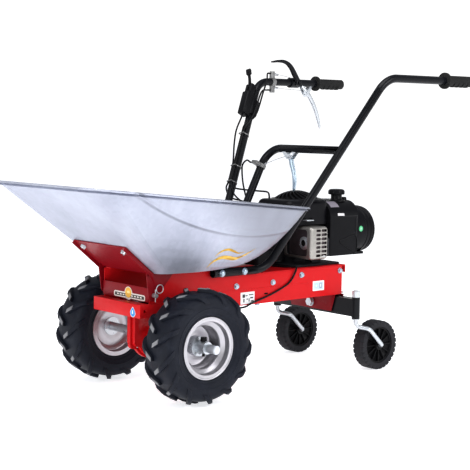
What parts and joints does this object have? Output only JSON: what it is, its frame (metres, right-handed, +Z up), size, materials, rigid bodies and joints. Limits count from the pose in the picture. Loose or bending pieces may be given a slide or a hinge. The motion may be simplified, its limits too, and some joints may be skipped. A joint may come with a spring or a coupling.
{
  "type": "power wheelbarrow",
  "caption": "Walk-behind power wheelbarrow: steel load tub that tips forward over a driven axle, low chassis with a petrol engine, swivelling rear castors and handlebars with control levers",
  "frame": {"origin": "on the ground, under the middle of the overall box", "axes": "+Y runs from the tub towards the grips, +X is the machine's left as seen by the person who walks behind it facing -Y, +Z is up"},
  "size_m": [0.644, 1.4695, 1.0075],
  "materials": {
    "red_paint": "gloss red powder coat",
    "dark_red_paint": "dark red powder coat",
    "black_paint": "satin black powder coat",
    "black_steel": "black oxide steel",
    "galvanised": "hot-dip galvanised sheet",
    "zinc": "bright zinc plate",
    "silver_steel": "zinc-plated steel",
    "rim_paint": "silver paint",
    "rubber_tyre": "worn black rubber",
    "grip_foam": "matt soft rubber",
    "black_plastic": "moulded black",
    "castor_tyre": "black rubber",
    "cast": "black-painted casting",
    "bronze": "bronze",
    "cable": "black cable cover",
    "belt": "black rubber belt"
  },
  "bodies": {
    "chassis": {"chassis_side_left": "red_paint", "chassis_side_right": "red_paint", "deck_plate": "red_paint", "front_plate": "dark_red_paint", "front_bumper": "red_paint", "gearbox_plate": "red_paint", "beam_bracket": "dark_red_paint", "handle_left": "black_paint", "handle_right": "black_paint", "cross_tube": "black_paint", "handle_bolts": "zinc", "frame_bolts": "zinc", "grip_left": "grip_foam", "grip_right": "grip_foam", "reverse_hanger": "zinc", "drive_hanger": "silver_steel", "safety_clamp": "black_paint", "cable_clips": "black_steel", "throttle_box": "black_plastic", "handle_cables": "cable", "reverse_cable": "cable", "gearbox_left": "red_paint", "gearbox_right": "red_paint", "engine_block": "cast", "engine_shroud": "black_plastic", "starter_grille": "black_plastic", "fuel_tank": "black_plastic", "muffler": "black_steel", "muffler_guard": "black_steel", "air_filter": "black_plastic", "drive_belt": "belt", "beam_bolt": "zinc", "pivot_pin": "zinc"},
    "filler_cap": {"fuel_cap": "black_plastic"},
    "engine_crank": {"crankshaft": "silver_steel"},
    "worm": {"worm_shaft": "zinc"},
    "drive_axle": {"worm_wheel": "bronze", "axle_shaft": "zinc", "wheel_hubs": "zinc", "rim_left": "rim_paint", "rim_right": "rim_paint", "tyre_left": "rubber_tyre", "tyre_right": "rubber_tyre", "lock_pins": "black_plastic"},
    "rocking_beam": {"castor_beam": "black_paint"},
    "castor_left": {"castor_stem_left": "zinc"},
    "castor_right": {"castor_stem_right": "zinc"},
    "castor_wheel_left": {"castor_rim_left": "black_plastic", "castor_tyre_left": "castor_tyre"},
    "castor_wheel_right": {"castor_rim_right": "black_plastic", "castor_tyre_right": "castor_tyre"},
    "load_tub": {"tub": "galvanised", "tub_bracket": "red_paint", "tub_bolts": "zinc"},
    "drive_clutch": {"drive_lever": "silver_steel"},
    "safety_stop": {"safety_lever": "black_paint"},
    "reverse_control": {"reverse_lever": "zinc"},
    "throttle_control": {"throttle_lever": "black_plastic"},
    "belt_idler": {"idler_arm": "silver_steel"},
    "gear_shift": {"shift_arm": "silver_steel"}
  },
  "joints": [
    {"name": "axle_spin", "type": "hinge", "parent": "chassis", "child": "drive_axle", "pos_m": [0, -0.3435, 0.165], "axis": [1, 0, 0], "continuous": true},
    {"name": "worm_spin", "type": "hinge", "parent": "chassis", "child": "worm", "pos_m": [0, -0.3935, 0.165], "axis": [0, 0, 1], "continuous": true},
    {"name": "crank_spin", "type": "hinge", "parent": "chassis", "child": "engine_crank", "pos_m": [0, 0.2365, 0.4], "axis": [0, 0, 1], "continuous": true},
    {"name": "beam_rock", "type": "hinge", "parent": "chassis", "child": "rocking_beam", "pos_m": [0, 0.3305, 0.208], "axis": [0, 1, 0], "range_deg": [-3, 3]},
    {"name": "castor_swivel_left", "type": "hinge", "parent": "rocking_beam", "child": "castor_left", "pos_m": [0.184, 0.3305, 0.2], "axis": [0, 0, 1], "continuous": true},
    {"name": "castor_swivel_right", "type": "hinge", "parent": "rocking_beam", "child": "castor_right", "pos_m": [-0.184, 0.3305, 0.2], "axis": [0, 0, 1], "continuous": true},
    {"name": "castor_spin_left", "type": "hinge", "parent": "castor_left", "child": "castor_wheel_left", "pos_m": [0.184, 0.4225, 0.08], "axis": [1, 0, 0], "continuous": true},
    {"name": "castor_spin_right", "type": "hinge", "parent": "castor_right", "child": "castor_wheel_right", "pos_m": [-0.184, 0.4225, 0.08], "axis": [1, 0, 0], "continuous": true},
    {"name": "tub_tilt", "type": "hinge", "parent": "chassis", "child": "load_tub", "pos_m": [0, -0.4235, 0.303], "axis": [1, 0, 0], "range_deg": [0, 75]},
    {"name": "drive_lever_pull", "type": "hinge", "parent": "chassis", "child": "drive_clutch", "pos_m": [-0.296, 0.5535, 0.899], "axis": [1, 0, 0], "range_deg": [0, 41], "stiffness_Nm_per_rad": 0.5, "springref_deg": -17.19},
    {"name": "safety_lever_press", "type": "hinge", "parent": "chassis", "child": "safety_stop", "pos_m": [-0.296, 0.4965, 0.931], "axis": [1, 0, 0], "range_deg": [-75, 0], "stiffness_Nm_per_rad": 0.5, "springref_deg": 17.19},
    {"name": "reverse_lever_pull", "type": "hinge", "parent": "chassis", "child": "reverse_control", "pos_m": [0.006, 0.2016, 0.684], "axis": [0, -1, 0], "range_deg": [0, 50], "stiffness_Nm_per_rad": 0.5, "springref_deg": -17.19},
    {"name": "throttle_lever_turn", "type": "hinge", "parent": "chassis", "child": "throttle_control", "pos_m": [-0.28641, 0.28211, 0.91431], "axis": [0.9688, 0.123, 0.2152], "range_deg": [-25, 25]},
    {"name": "idler_swing", "type": "hinge", "parent": "chassis", "child": "belt_idler", "pos_m": [0.098, -0.0135, 0.25], "axis": [0, 0, 1], "range_deg": [0, 4.9]},
    {"name": "shift_arm_turn", "type": "hinge", "parent": "chassis", "child": "gear_shift", "pos_m": [0.02, -0.2985, 0.205], "axis": [1, 0, 0], "range_deg": [0, 20]},
    {"name": "fuel_cap_turn", "type": "hinge", "parent": "chassis", "child": "filler_cap", "pos_m": [0.04, 0.3785, 0.57], "axis": [0, 0, 1], "continuous": true}
  ],
  "couplings": [
    {"joint": "worm_spin", "follows": "axle_spin", "ratio": 20},
    {"joint": "idler_swing", "follows": "drive_lever_pull", "ratio": 0.11163},
    {"joint": "shift_arm_turn", "follows": "reverse_lever_pull", "ratio": 0.4}
  ]
}
